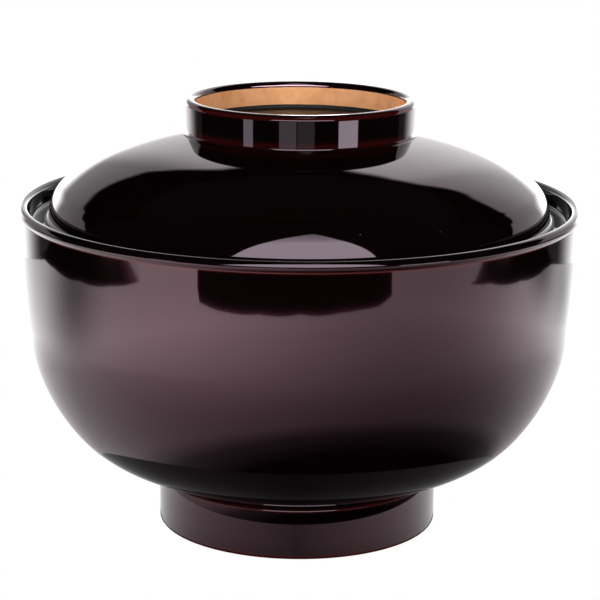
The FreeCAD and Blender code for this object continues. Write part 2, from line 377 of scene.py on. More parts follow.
def ring_floor(lid):
    """Corner and floor inside the grip ring, in to the centre."""
    inner = lid.ring_radius - 2 * lid.ring_round
    start = (inner, lid.ring_top - lid.recess_depth + lid.recess_corner)
    return start, 3 * QUARTER, [(lid.recess_corner, -QUARTER), (inner - lid.recess_corner, 0)]


# ---- Modelling -------------------------------------------------------------
def deselect_all():
    if bpy.context.object and bpy.context.object.mode != "OBJECT":
        bpy.ops.object.mode_set(mode="OBJECT")
    bpy.ops.object.select_all(action="DESELECT")


def one_vertex(name, place):
    """A new mesh object in edit mode, holding one selected vertex."""
    deselect_all()
    bpy.ops.mesh.primitive_plane_add(size=MM, location=(0, 0, 0))
    piece = bpy.context.object
    piece.name = name
    piece.data.name = name
    bpy.ops.object.mode_set(mode="EDIT")
    bpy.ops.mesh.select_all(action="SELECT")
    bpy.ops.mesh.merge(type="CENTER")
    bpy.ops.transform.translate(value=place)
    return piece


def draw(path):
    """Extrudes and spins the selected vertex along a path in the XZ plane."""
    (r, z), heading, moves = path
    for size, turn in moves:
        run, rise, after = step(heading, (size, turn))
        if turn == 0:
            parts = max(1, math.ceil(size / LINE_STEP))
            for _ in range(parts):
                bpy.ops.mesh.extrude_vertices_move(
                    TRANSFORM_OT_translate={"value": (run / parts, 0, rise / parts)}
                )
        else:
            side = math.copysign(size, turn)
            centre = (r - side * math.sin(heading), 0, z + side * math.cos(heading))
            bpy.ops.mesh.spin(
                steps=max(LEAST_ARC_STEPS, math.ceil(abs(turn) / ARC_STEP)),
                angle=turn,
                center=centre,
                axis=(0, 1, 0),
            )
        r += run
        z += rise
        heading = after


def first_normal_faces(piece, outward):
    """Turns the mesh over if the face nearest a profile point looks the wrong way."""
    mesh = bmesh.from_edit_mesh(piece.data)
    place, way = outward
    face = min(mesh.faces, key=lambda f: (f.calc_center_median() - place).length)
    if face.normal.dot(way) < 0:
        bpy.ops.mesh.flip_normals()


def turn_round(piece, outward):
    """Spins the drawn profile about Z and leaves one clean skin facing outwards."""
    bpy.ops.mesh.select_all(action="SELECT")
    bpy.ops.mesh.spin(steps=TURN_STEPS, angle=2 * math.pi, center=(0, 0, 0), axis=(0, 0, 1))
    bpy.ops.mesh.select_all(action="SELECT")
    bpy.ops.mesh.remove_doubles(threshold=SEAM)
    bpy.ops.mesh.normals_make_consistent(inside=False)
    first_normal_faces(piece, outward)
    bpy.ops.object.mode_set(mode="OBJECT")


def outward_at(path):
    """Middle of the first long move of a path, and the way out of the material there."""
    (r, z), heading, moves = path
    longest = max(range(len(moves)), key=lambda i: moves[i][0] * (abs(moves[i][1]) or 1))
    for move in moves[:longest]:
        run, rise, heading = step(heading, move)
        r += run
        z += rise
    size, turn = moves[longest]
    half = (size / 2, 0) if turn == 0 else (size, turn / 2)
    run, rise, heading = step(heading, half)
    return Vector((r + run, 0, z + rise)), Vector((math.sin(heading), 0, -math.cos(heading)))


def finish_with(piece, material):
    """Gives the whole piece one material."""
    piece.data.materials.clear()
    piece.data.materials.append(material)


def coat(name, path, thickness, body, material):
    """One coat: profile drawn, turned round, thickened inwards and finished."""
    start = path[0]
    piece = one_vertex(name, (start[0], 0, start[1]))
    draw(path)
    turn_round(piece, outward_at(path))
    solid = piece.modifiers.new("thickness", "SOLIDIFY")
    solid.thickness = thickness
    solid.offset = -1
    solid.use_even_offset = True
    bpy.ops.object.modifier_apply(modifier=solid.name)
    bpy.ops.object.shade_smooth_by_angle(angle=SMOOTH_BELOW)
    if not piece.data.polygons:
        raise RuntimeError(f"{name} came out with no faces")
    finish_with(piece, material)
    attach(piece, body)
    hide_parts(name)
    piece.name = name + "_finish"
    return piece


# ---- Materials ----------------------------------------------------------------
def add(tree, kind, settings=None, **links):
    """Adds a node, sets its properties and unlinked sockets, and links the rest."""
    made = tree.nodes.new(kind)
    for key, value in (settings or {}).items():
        if isinstance(key, int) or key in made.inputs:
            made.inputs[key].default_value = value
        else:
            setattr(made, key, value)
    for key, socket in links.items():
        place = int(key[1:]) if key[0] == "i" and key[1:].isdigit() else key.replace("_", " ")
        tree.links.new(socket, made.inputs[place])
    return made


def new_material(name):
    material = bpy.data.materials.new(name)
    material.use_nodes = True
    material.node_tree.nodes.clear()
    return material, material.node_tree


def made_before(name):
    """A material that an earlier operator made."""
    material = bpy.data.materials.get(name)
    if material is None:
        raise RuntimeError(f"make the bowl first, which brings {name}")
    return material


def finish_material(tree, shader):
    add(tree, "ShaderNodeOutputMaterial", Surface=shader.outputs[0])


def object_place(tree):
    return add(tree, "ShaderNodeTexCoord").outputs["Object"]


def profile_place(tree, place):
    """Radius along X and height along Z of a point on a turned piece."""
    parts = add(tree, "ShaderNodeSeparateXYZ", Vector=place)
    flat = add(tree, "ShaderNodeCombineXYZ", X=parts.outputs[0], Y=parts.outputs[1])
    radius = add(tree, "ShaderNodeVectorMath", {"operation": "LENGTH"}, i0=flat.outputs[0])
    return add(tree, "ShaderNodeCombineXYZ", X=radius.outputs["Value"], Z=parts.outputs[2]).outputs[0]


def edge_glow(tree, place, edges):
    """Mask that is 1 on the named edges of the profile and fades over each one's width."""
    profile = profile_place(tree, place)
    mask = None
    for r, z, width, strength in edges:
        away = add(
            tree, "ShaderNodeVectorMath", {"operation": "DISTANCE", 1: (r, 0, z)}, i0=profile
        )
        fade = add(
            tree,
            "ShaderNodeMapRange",
            {
                "interpolation_type": "SMOOTHSTEP",
                "From Max": width,
                "To Min": strength,
                "To Max": 0.0,
            },
            Value=away.outputs["Value"],
        )
        if mask is None:
            mask = fade.outputs[0]
        else:
            mask = add(
                tree, "ShaderNodeMath", {"operation": "MAXIMUM"}, i0=mask, i1=fade.outputs[0]
            ).outputs[0]
    return mask


def polish_bump(tree, place, height):
    """Long shallow waves that hand polishing leaves in a lacquered surface."""
    waves = add(tree, "ShaderNodeTexNoise", {"Scale": 1 / (9 * MM), "Detail": 1.0}, Vector=place)
    return add(
        tree,
        "ShaderNodeBump",
        {"Strength": 1.0, "Distance": height},
        Height=waves.outputs["Fac"],
    ).outputs[0]


def dust_mask(tree, place):
    """A few bright dust grains, 0.15 mm across and some 5 mm apart."""
    cells = add(
        tree, "ShaderNodeTexVoronoi", {"Scale": 1 / (5 * MM), "Randomness": 1.0}, Vector=place
    )
    return add(
        tree,
        "ShaderNodeMapRange",
        {"From Min": 0.014, "From Max": 0.020, "To Min": 0.5, "To Max": 0.0},
        Value=cells.outputs["Distance"],
    ).outputs[0]


def amber_lacquer(look, bowl, lid):
    """Clear amber urushi lacquer over red, brushed on and polished by hand.

    The eye sees a near-black brown with a red glow where the coat thins on an edge, a sharp
    clear gloss on top and a pinker, softer gloss from the red layer under it."""
    material, tree = new_material("amber_lacquer_over_red")
    place = object_place(tree)
    lip_r = bowl.rim_radius - bowl.lip_round * 0.5
    # radius and height of each edge, how far its glow fades, and its strength
    edges = [
        (lip_r, bowl.height - 1.95 * bowl.lip_round, 0.6 * MM, 0.5),
        (bowl.foot_radius, bowl.foot_height - 0.2 * MM, 0.8 * MM, 0.35),
        (bowl.foot_radius, 0.2 * MM, 1.0 * MM, 0.5),
        (lid.ring_radius, lid.ring_top - 0.7 * MM, 0.8 * MM, 0.3),
        (lid.ring_radius, lid.ring_top - 6.4 * MM, 1.2 * MM, 0.2),
    ]
    glow = edge_glow(tree, place, edges)
    body = add(
        tree,
        "ShaderNodeMix",
        {"data_type": "RGBA", 6: look.amber, 7: look.amber_glow},
        i0=glow,
    )
    dusty = add(tree, "ShaderNodeMix", {"data_type": "RGBA", 7: linear("#8A8078")})
    tree.links.new(dust_mask(tree, place), dusty.inputs[0])
    tree.links.new(body.outputs[2], dusty.inputs[6])
    shader = add(
        tree,
        "ShaderNodeBsdfPrincipled",
        {
            "Roughness": 0.05,
            "IOR": 1.5,
            "Specular IOR Level": 0.68,
            "Specular Tint": look.amber_tint,
            "Coat Weight": 1.0,
            "Coat Roughness": 0.02,
            "Coat IOR": 1.45,
        },
        Base_Color=dusty.outputs[2],
        Coat_Normal=polish_bump(tree, place, 0.002 * MM),
    )
    finish_material(tree, shader)
    return material


def black_lacquer(look):
    """Black urushi lacquer, polished: a neutral black that shows only its gloss."""
    material, tree = new_material("black_lacquer")
    place = object_place(tree)
    dust = linear("#8A8A88")
    body = add(tree, "ShaderNodeMix", {"data_type": "RGBA", 6: look.black, 7: dust})
    tree.links.new(dust_mask(tree, place), body.inputs[0])
    shader = add(
        tree,
        "ShaderNodeBsdfPrincipled",
        {
            "Roughness": 0.3,
            "Specular IOR Level": 0.0,
            "Coat Weight": 1.0,
            "Coat Roughness": 0.03,
            "Coat IOR": 1.53,
        },
        Base_Color=body.outputs[2],
        Coat_Normal=polish_bump(tree, place, 0.002 * MM),
    )
    finish_material(tree, shader)
    return material


def dull_black_lacquer(look):
    """Black urushi lacquer left as brushed on the recess floor: a dull black, hardly glossy."""
    material, tree = new_material("dull_black_lacquer")
    place = object_place(tree)
    brush = add(tree, "ShaderNodeTexNoise", {"Scale": 1 / (1.5 * MM), "Detail": 2.0}, Vector=place)
    rough = add(
        tree, "ShaderNodeMapRange", {"To Min": 0.45, "To Max": 0.6}, Value=brush.outputs["Fac"]
    )
    shader = add(
        tree,
        "ShaderNodeBsdfPrincipled",
        {"Base Color": look.black, "Specular IOR Level": 0.15},
        Roughness=rough.outputs[0],
    )
    finish_material(tree, shader)
    return material


def gold_powder(look):
    """Gold powder sprinkled on wet lacquer and burnished.

    The eye sees a satin metal with a fine sparkle. The real grains are some 0.03 mm, too fine
    to show, so they are drawn 0.25 mm across."""
    material, tree = new_material("gold_powder_in_lacquer")
    place = object_place(tree)
    grain = add(tree, "ShaderNodeTexNoise", {"Scale": 1 / (0.25 * MM), "Detail": 2.0}, Vector=place)
    patches = add(tree, "ShaderNodeTexNoise", {"Scale": 1 / (3 * MM), "Detail": 2.0}, Vector=place)
    tone = add(
        tree,
        "ShaderNodeMix",
        {"data_type": "RGBA", 6: linear("#CF8A58"), 7: look.gold},
        i0=patches.outputs["Fac"],
    )
    rough = add(
        tree, "ShaderNodeMapRange", {"To Min": 0.38, "To Max": 0.55}, Value=grain.outputs["Fac"]
    )
    bump = add(
        tree, "ShaderNodeBump", {"Strength": 0.35, "Distance": 0.03 * MM}, Height=grain.outputs["Fac"]
    )
    shader = add(
        tree,
        "ShaderNodeBsdfPrincipled",
        {"Metallic": 0.75},
        Base_Color=tone.outputs[2],
        Roughness=rough.outputs[0],
        Normal=bump.outputs[0],
    )
    finish_material(tree, shader)
    return material


def turned_wood(look):
    """Zelkova, turned and sealed: a dull pale brown with wavy bands, coarser than its real rings."""
    material, tree = new_material("turned_zelkova_wood")
    place = object_place(tree)
    band_gap = 3 * math.pi * MM
    wave_scale = 2 * math.pi / (20 * band_gap)  # the node runs 20 radians for each unit
    rings = add(
        tree,
        "ShaderNodeTexWave",
        {"wave_type": "BANDS", "bands_direction": "X", "Scale": wave_scale, "Distortion": 6.0},
        Vector=place,
    )
    tone = add(
        tree,
        "ShaderNodeMix",
        {"data_type": "RGBA", 6: linear("#8A6843"), 7: look.wood},
        i0=rings.outputs["Fac"],
    )
    shader = add(tree, "ShaderNodeBsdfPrincipled", {"Roughness": 0.6}, Base_Color=tone.outputs[2])
    finish_material(tree, shader)
    return material


def red_undercoat(look):
    """Red iron-oxide lacquer, brushed and rubbed flat: a dull even red."""
    material, tree = new_material("red_undercoat_lacquer")
    place = object_place(tree)
    brush = add(tree, "ShaderNodeTexNoise", {"Scale": 1 / (2 * MM), "Detail": 3.0}, Vector=place)
    rough = add(
        tree, "ShaderNodeMapRange", {"To Min": 0.35, "To Max": 0.5}, Value=brush.outputs["Fac"]
    )
    shader = add(
        tree,
        "ShaderNodeBsdfPrincipled",
        {"Base Color": look.red},
        Roughness=rough.outputs[0],
    )
    finish_material(tree, shader)
    return material


# ---- Studio --------------------------------------------------------------------
WHITE = linear("#FFFFFF")
CARD_PAPER = linear("#E2FFFF")  # cool paper of the softbox and the small cards
ROOM_TINT = linear("#FFE8F0")   # what little the gloss sees where no card stands
SECTOR_STEPS = 64               # facets of a table card
CARD_SEAM = 0.01 * MM
FLOOR_RADIUS = 4.0
FLOOR_DROP = -0.6 * MM          # floor, table cards and flags lie in layers
TABLE_DROP = -0.3 * MM
FOOT_CARD_DROP = -0.2 * MM
CARD_RISE = 0.1 * MM
FOOT_CARD_NEAR = 31 * MM
TABLE_NEAR = 53.5 * MM
TABLE_EDGE = 270 * MM
BEHIND_EDGE = 790 * MM
CARD_NEAR, CARD_FAR = 310 * MM, 600 * MM
SOFTBOX_REACH, SOFTBOX_EYE = 950 * MM, 70 * MM
LAMP_RADIUS = 8 * MM
LAMP_PLACE = (3 * MM, 2 * MM, 101 * MM)
LAMP_STRENGTH = 18.0
SEEN_LEVEL, ROOM_LEVEL, FILL_LEVEL = 1.0, 0.008, 2.6  # to the camera, to the gloss, to the rest


def glow_paper(name, strength, tone=WHITE):
    """Evenly lit card."""
    material, tree = new_material(name)
    shader = add(tree, "ShaderNodeEmission", {"Color": tone, "Strength": strength})
    finish_material(tree, shader)
    return material


def seen_by(piece, camera=False, glossy=True):
    """Marks a stage piece and says which rays meet it."""
    piece.visible_camera = camera
    piece.visible_glossy = glossy
    piece.visible_shadow = False
    piece.visible_transmission = False


def sector(name, near, far, left, right, height, material):
    """Flat card on the table between two radii and two angles from straight ahead."""
    piece = one_vertex(name, (0, -near, height))
    bpy.ops.mesh.extrude_vertices_move(TRANSFORM_OT_translate={"value": (0, near - far, 0)})
    bpy.ops.mesh.select_all(action="SELECT")
    bpy.ops.transform.rotate(value=-left, orient_axis="Z", center_override=(0, 0, 0))
    bpy.ops.mesh.spin(steps=SECTOR_STEPS, angle=left - right, center=(0, 0, 0), axis=(0, 0, 1))
    bpy.ops.mesh.select_all(action="SELECT")
    bpy.ops.mesh.remove_doubles(threshold=CARD_SEAM)
    bpy.ops.object.mode_set(mode="OBJECT")
    finish_with(piece, material)
    return piece


def outline(name, points, material):
    """Flat or bowed card with the given outline."""
    piece = one_vertex(name, points[0])
    for before, after in zip(points, points[1:]):
        way = tuple(b - a for a, b in zip(before, after))
        bpy.ops.mesh.extrude_vertices_move(TRANSFORM_OT_translate={"value": way})
    bpy.ops.mesh.select_all(action="SELECT")
    bpy.ops.mesh.edge_face_add()
    bpy.ops.object.mode_set(mode="OBJECT")
    finish_with(piece, material)
    return piece


def on_table(points):
    """Card outline lying on the table, from points in millimetres."""
    return [(x * MM, y * MM, CARD_RISE) for x, y in points]


def on_sphere(points, reach, height):
    """Card outline at a distance, from degrees round from the front and degrees up."""
    placed = []
    for around, up in points:
        a, e = math.radians(around), math.radians(up)
        flat = reach * math.cos(e)
        placed.append((flat * math.sin(a), -flat * math.cos(a), height + reach * math.sin(e)))
    return placed


# Outlines of the table flags in millimetres, and of the softbox in degrees round and up.
FRONT_FLAG = (
    (-150, -203), (-137, -193), (-117, -200), (-96, -208), (-54, -222), (2, -229), (58, -223),
    (86, -216), (112, -207), (134, -204), (139, -214), (125, -229), (80, -247), (2, -262),
    (-76, -250), (-135, -223), (-158, -207),
)
LEFT_FLAG = (
    (-218, -128), (-236, -69), (-248, 0), (-246, 80), (-236, 140), (-262, 100), (-271, 60),
    (-269, -26), (-245, -92),
)
RIGHT_FLAG = (
    (229, -106), (243, -66), (252, 8), (248, 90), (240, 130), (262, 94), (272, 8), (256, -68),
)
RING_FLAG = (
    (-45 * MM, -46 * MM, 99 * MM), (45 * MM, -46 * MM, 99 * MM),
    (45 * MM, -46 * MM, 136 * MM), (-45 * MM, -46 * MM, 136 * MM),
)
SOFTBOX = (
    (-30, 5), (-28, 9), (-23, 29), (-17, 50), (-6, 66), (17, 76), (24, 58), (27, 34), (33, 6),
)


def disc(name, radius, corners, place, material):
    """Level round card."""
    deselect_all()
    bpy.ops.mesh.primitive_circle_add(
        vertices=corners, radius=radius, fill_type="NGON", location=place
    )
    bpy.ops.object.transform_apply(location=True, rotation=False, scale=False)
    piece = bpy.context.object
    piece.name = name
    finish_with(piece, material)
    return piece


def sizes():
    scene = bpy.context.scene
    return scene.bowl_sizes, scene.lid_sizes, scene.coat_look, scene.studio_setup


class RICEBOWL_OT_bowl_outside(bpy.types.Operator):
    """Amber lacquer on the outside of the bowl and its foot"""

    bl_idname = "rice_bowl.bowl_outside"
    bl_label = "Bowl outside"

    def execute(self, context):
        bowl, lid, look, _ = sizes()
        material = amber_lacquer(look, bowl, lid)
        coat("bowl_amber_topcoat", bowl_outside(bowl), look.top_coat, "bowl", material)
        coat("bowl_foot_edge_coat", foot_edge(bowl), look.full_coat, "bowl", material)
        return {"FINISHED"}


class RICEBOWL_OT_bowl_inside(bpy.types.Operator):
    """Black lacquer inside the bowl and under it"""

    bl_idname = "rice_bowl.bowl_inside"
    bl_label = "Bowl inside"

    def execute(self, context):
        bowl, lid, look, _ = sizes()
        material = black_lacquer(look)
        path = bowl_inside(bowl, lid)
        coat("bowl_black_inside", path, look.full_coat, "bowl", material)
        path = foot_recess(bowl, lid)
        coat("bowl_foot_recess_coat", path, look.full_coat, "bowl", material)
        return {"FINISHED"}


class RICEBOWL_OT_lid_coats(bpy.types.Operator):
    """Amber lacquer over the lid and black lacquer under it"""

    bl_idname = "rice_bowl.lid_coats"
    bl_label = "Lid"

    def execute(self, context):
        bowl, lid, look, _ = sizes()
        amber = made_before("amber_lacquer_over_red")
        black = made_before("black_lacquer")
        coat("lid_amber_topcoat", lid_outside(bowl, lid), look.top_coat, "lid", amber)
        coat("lid_black_underside", lid_inside(bowl, lid), look.full_coat, "lid", black)
        return {"FINISHED"}


class RICEBOWL_OT_ring_inside(bpy.types.Operator):
    """Gilding and black floor inside the grip ring"""

    bl_idname = "rice_bowl.ring_inside"
    bl_label = "Ring inside"

    def execute(self, context):
        _, lid, look, _ = sizes()
        black = dull_black_lacquer(look)
        coat("lid_ring_gilding", ring_wall(lid), look.full_coat, "lid", gold_powder(look))
        coat("lid_ring_floor_coat", ring_floor(lid), look.full_coat, "lid", black)
        return {"FINISHED"}


class RICEBOWL_OT_under_layers(bpy.types.Operator):
    """Wood and red undercoat for the layers under the finished coats"""

    bl_idname = "rice_bowl.under_layers"
    bl_label = "Layers under the coats"

    def execute(self, context):
        look = sizes()[2]
        wood = turned_wood(look)
        red = red_undercoat(look)
        for name, material in (
            ("bowl_wood_core", wood),
            ("lid_wood_core", wood),
            ("bowl_red_undercoat", red),
            ("lid_red_undercoat", red),
        ):
            finish_with(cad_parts[name], material)
        return {"FINISHED"}


TABLE_STOPS = (
    (0.035, 0.0),
    (0.050, 0.08),
    (0.062, 0.32),
    (0.100, 0.52),
    (0.150, 0.78),
    (0.175, 1.05),
    (0.205, 1.40),
    (0.240, 1.20),
    (0.270, 1.10),
)  # distance from the middle of the bowl's shade in metres, brightness there
TABLE_GAIN = 1.7
SHADE_SHIFT = (-12 * MM, 30 * MM, 0)  # brings the middle of the bowl's shade to the origin
SHADE_PINK = 0.86                     # green over red in the shade, which reaches 1 at its end
PINK_REACH = 200 * MM
CORNER_GAIN = 0.75                    # brighter at the left front, dimmer at the right front
TABLE_PATCHES = (
    (-238, 20, 100, 0.35), (262, 85, 75, 0.3), (190, 150, 90, 0.6),
)  # middle and reach of each dim patch in millimetres, brightness left at its middle


def lit_table():
    """Table top as the gloss sees it: dark and warm in the bowl's own shade, bright beyond it."""
    material, tree = new_material("lit_table_top")
    place = object_place(tree)
    shade = add(tree, "ShaderNodeMapping", {"Location": SHADE_SHIFT}, Vector=place)
    away = add(tree, "ShaderNodeVectorMath", {"operation": "LENGTH"}, i0=shade.outputs[0])
    along = add(
        tree, "ShaderNodeMapRange", {"From Max": TABLE_EDGE}, Value=away.outputs["Value"]
    )
    ramp = add(tree, "ShaderNodeValToRGB", Fac=along.outputs[0])
    for _ in range(len(TABLE_STOPS) - 2):
        ramp.color_ramp.elements.new(0.5)
    for element, (at, value) in zip(ramp.color_ramp.elements, TABLE_STOPS):
        pink = SHADE_PINK + (1 - SHADE_PINK) * min(1.0, at / PINK_REACH)
        level = value / TABLE_GAIN
        element.position = at / TABLE_EDGE
        element.color = (level, level * pink, level * (1 + pink) / 2, 1)
    soft = None
    for x, y, reach, darkest in TABLE_PATCHES:
        far = add(
            tree,
            "ShaderNodeVectorMath",
            {"operation": "DISTANCE", 1: (x * MM, y * MM, 0)},
            i0=place,
        )
        fade = add(
            tree,
            "ShaderNodeMapRange",
            {"interpolation_type": "SMOOTHSTEP", "From Max": reach * MM, "To Min": darkest},
            Value=far.outputs["Value"],
        ).outputs[0]
        if soft is not None:
            fade = add(
                tree, "ShaderNodeMath", {"operation": "MULTIPLY"}, i0=soft, i1=fade
            ).outputs[0]
        soft = fade
    way = add(tree, "ShaderNodeVectorMath", {"operation": "NORMALIZE"}, i0=place)
    parts = add(tree, "ShaderNodeSeparateXYZ", Vector=way.outputs[0])
    front = add(
        tree, "ShaderNodeMath", {"operation": "MINIMUM", 1: 0.0}, i0=parts.outputs[1]
    )
    corner = add(
        tree, "ShaderNodeMath", {"operation": "MULTIPLY"}, i0=parts.outputs[0], i1=front.outputs[0]
    )
    gain = add(
        tree,
        "ShaderNodeMath",
        {"operation": "MULTIPLY_ADD", 1: CORNER_GAIN * TABLE_GAIN, 2: TABLE_GAIN},
        i0=corner.outputs[0],
    )
    level = add(
        tree, "ShaderNodeMath", {"operation": "MULTIPLY"}, i0=gain.outputs[0], i1=soft
    )
    shader = add(tree, "ShaderNodeEmission", Color=ramp.outputs[0], Strength=level.outputs[0])
    finish_material(tree, shader)
    return material


def lit_foot_rim():
    """Table close round the foot, in the bowl's shade: only its sheen shows, more at the sides."""
    material, tree = new_material("lit_table_by_foot")
    place = object_place(tree)
    way = add(tree, "ShaderNodeVectorMath", {"operation": "NORMALIZE"}, i0=place)
    parts = add(tree, "ShaderNodeSeparateXYZ", Vector=way.outputs[0])
    side = add(tree, "ShaderNodeMath", {"operation": "ABSOLUTE"}, i0=parts.outputs[0])
    level = add(
        tree, "ShaderNodeMapRange", {"To Min": 2.2, "To Max": 6.4}, Value=side.outputs[0]
    )
    dark = add(tree, "ShaderNodeEmission", {"Strength": 0.0})
    bright = add(tree, "ShaderNodeEmission", Strength=level.outputs[0])
    sheen = add(tree, "ShaderNodeFresnel", {"IOR": 1.2})
    shader = add(
        tree, "ShaderNodeMixShader", i0=sheen.outputs[0], i1=dark.outputs[0], i2=bright.outputs[0]
    )
    finish_material(tree, shader)
    return material


def lit_leaf():
    """Softbox in front: even over its lower half and fading towards its top."""
    material, tree = new_material("lit_softbox")
    parts = add(tree, "ShaderNodeSeparateXYZ", Vector=object_place(tree))
    up = add(
        tree,
        "ShaderNodeMapRange",
        {"From Min": 0.72, "From Max": 1.0, "To Min": 3.7, "To Max": 1.0},
        Value=parts.outputs[2],
    )
    shader = add(
        tree, "ShaderNodeEmission", {"Color": CARD_PAPER}, Strength=up.outputs[0]
    )
    finish_material(tree, shader)
    return material


WALL_REACH = 0.80   # backdrop from the axis, metres
WALL_HALF = 75      # half of the angle it takes in, degrees
WALL_HEIGHT = 0.95  # metres
WALL_EYE = 0.08     # height that its angles are measured from, metres
WALL_TOP_MOST = 46  # degrees
WALL_LEVEL_MOST = 1.3
WALL_TOP = (
    (0.00, 0), (0.06, 14), (0.14, 24), (0.24, 28), (0.34, 33), (0.42, 42), (0.50, 42),
    (0.58, 45), (0.66, 46), (0.76, 40), (0.86, 30), (0.94, 18), (1.00, 0),
)  # along the backdrop from left to right, height of its lit part in degrees
WALL_LEVEL = (
    (0.00, 0.40), (0.36, 0.38), (0.42, 0.95), (0.50, 1.30), (0.60, 1.15), (0.68, 0.75),
    (0.80, 0.55), (1.00, 0.55),
)  # along the backdrop from left to right, brightness


def ramp_of(tree, stops, top, along):
    """Smooth grey ramp through the stops, divided by their top value."""
    ramp = add(tree, "ShaderNodeValToRGB", Fac=along)
    ramp.color_ramp.interpolation = "EASE"
    for _ in range(len(stops) - 2):
        ramp.color_ramp.elements.new(0.5)
    for element, (at, value) in zip(ramp.color_ramp.elements, stops):
        element.position = at
        element.color = (value / top, value / top, value / top, 1)
    return ramp.outputs[0]


def behind(tree, start, end, low, high):
    """Value that goes from low to high as a point moves round from the sides to the back."""
    parts = add(tree, "ShaderNodeSeparateXYZ", Vector=object_place(tree))
    flat = add(tree, "ShaderNodeCombineXYZ", X=parts.outputs[0], Y=parts.outputs[1])
    way = add(tree, "ShaderNodeVectorMath", {"operation": "NORMALIZE"}, i0=flat.outputs[0])
    back = add(tree, "ShaderNodeSeparateXYZ", Vector=way.outputs[0])
    return add(
        tree,
        "ShaderNodeMapRange",
        {"interpolation_type": "SMOOTHSTEP", "From Min": start, "From Max": end, "To Min": low,
         "To Max": high},
        Value=back.outputs[1],
    ).outputs[0]


def lit_backdrop():
    """Curved backdrop as the gloss sees it: a lit bank behind, brightest at the table."""
    material, tree = new_material("lit_backdrop")
    parts = add(tree, "ShaderNodeSeparateXYZ", Vector=object_place(tree))
    around = add(
        tree,
        "ShaderNodeMath",
        {"operation": "ARCTAN2"},
        i0=parts.outputs[0],
        i1=parts.outputs[1],
    )
    half = math.radians(WALL_HALF)
    along = add(
        tree, "ShaderNodeMapRange", {"From Min": -half, "From Max": half}, Value=around.outputs[0]
    ).outputs[0]
    up = add(
        tree,
        "ShaderNodeMapRange",
        {"From Min": WALL_EYE, "From Max": WALL_EYE + WALL_REACH, "To Max": 1.0, "clamp": False},
        Value=parts.outputs[2],
    )
    climb = add(tree, "ShaderNodeMath", {"operation": "ARCTANGENT"}, i0=up.outputs[0])
    top = add(
        tree,
        "ShaderNodeMath",
        {"operation": "MULTIPLY", 1: math.radians(WALL_TOP_MOST)},
        i0=ramp_of(tree, WALL_TOP, WALL_TOP_MOST, along),
    )
    below = add(
        tree, "ShaderNodeMath", {"operation": "SUBTRACT"}, i0=top.outputs[0], i1=climb.outputs[0]
    )
    lit = add(
        tree,
        "ShaderNodeMapRange",
        {"interpolation_type": "SMOOTHSTEP", "From Min": 0.0, "From Max": 0.05,
         "To Max": WALL_LEVEL_MOST},
        Value=below.outputs[0],
    )
    bank = add(
        tree,
        "ShaderNodeMath",
        {"operation": "MULTIPLY"},
        i0=lit.outputs[0],
        i1=ramp_of(tree, WALL_LEVEL, WALL_LEVEL_MOST, along),
    )
    low = add(
        tree,
        "ShaderNodeMapRange",
        {"interpolation_type": "SMOOTHSTEP", "From Min": 0.12, "From Max": 0.26, "To Min": 2.0,
         "To Max": 0.0},
        Value=parts.outputs[2],
    )
    foot = add(
        tree,
        "ShaderNodeMath",
        {"operation": "MULTIPLY"},
        i0=low.outputs[0],
        i1=behind(tree, 0.74, 0.86, 0.0, 1.0),
    )
    level = add(
        tree, "ShaderNodeMath", {"operation": "ADD"}, i0=bank.outputs[0], i1=foot.outputs[0]
    )
    shader = add(tree, "ShaderNodeEmission", Strength=level.outputs[0])
    finish_material(tree, shader)
    return material


def lit_table_behind():
    """Table behind the bowl as the gloss sees it, fading round to the sides."""
    material, tree = new_material("lit_table_behind")
    shader = add(tree, "ShaderNodeEmission", Strength=behind(tree, 0.5, 0.84, 0.05, 1.4))
    finish_material(tree, shader)
    return material


def curved_wall(name, reach, half, height, material):
    """Upright wall curved round the axis behind the piece."""
    piece = one_vertex(name, (0, reach, 0))
    bpy.ops.mesh.extrude_vertices_move(TRANSFORM_OT_translate={"value": (0, 0, height)})
    bpy.ops.mesh.select_all(action="SELECT")
    bpy.ops.transform.rotate(value=-half, orient_axis="Z", center_override=(0, 0, 0))
    bpy.ops.mesh.spin(steps=48, angle=2 * half, center=(0, 0, 0), axis=(0, 0, 1))
    bpy.ops.object.mode_set(mode="OBJECT")
    finish_with(piece, material)
    return piece


PAPER_CARDS = (
    ("a", -56, -46, 1.5),
    ("b", -20, -3.6, 0.66),
    ("c", -2.6, 13.6, 0.31),
    ("d", 37, 57, 3.3),
)  # letter, left and right edge in degrees from straight ahead, brightness


def lay_floor(paper):
    """Pale floor, which the gloss doesn't see."""
    white = glow_paper("pale_studio_paper", 1.0, paper)
    floor = disc("stage_floor", FLOOR_RADIUS, 96, (0, 0, FLOOR_DROP), white)
    seen_by(floor, camera=True, glossy=False)


def lay_table():
    """Table as the gloss sees it: by the foot, round the bowl and behind it."""
    all_round = (-math.pi, math.pi)
    back = (math.radians(112), math.radians(248))
    for name, near, far, turn, height, material in (
        ("stage_table_by_foot", FOOT_CARD_NEAR, TABLE_NEAR, all_round, FOOT_CARD_DROP, lit_foot_rim()),
        ("stage_table", TABLE_NEAR, TABLE_EDGE, all_round, TABLE_DROP, lit_table()),
        ("stage_table_behind", TABLE_EDGE, BEHIND_EDGE, back, TABLE_DROP, lit_table_behind()),
    ):
        seen_by(sector(name, near, far, *turn, height, material))


def lay_flags_and_cards(black):
    """Black flags and paper cards on the table."""
    seen_by(outline("stage_flag_front", on_table(FRONT_FLAG), black))
    seen_by(outline("stage_flag_left", on_table(LEFT_FLAG), black))
    seen_by(outline("stage_flag_right", on_table(RIGHT_FLAG), black))
    for letter, left, right, strength in PAPER_CARDS:
        paper = glow_paper(f"lit_card_{letter}", strength, CARD_PAPER)
        edges = (math.radians(left), math.radians(right))
        seen_by(sector(f"stage_card_{letter}", CARD_NEAR, CARD_FAR, *edges, CARD_RISE, paper))


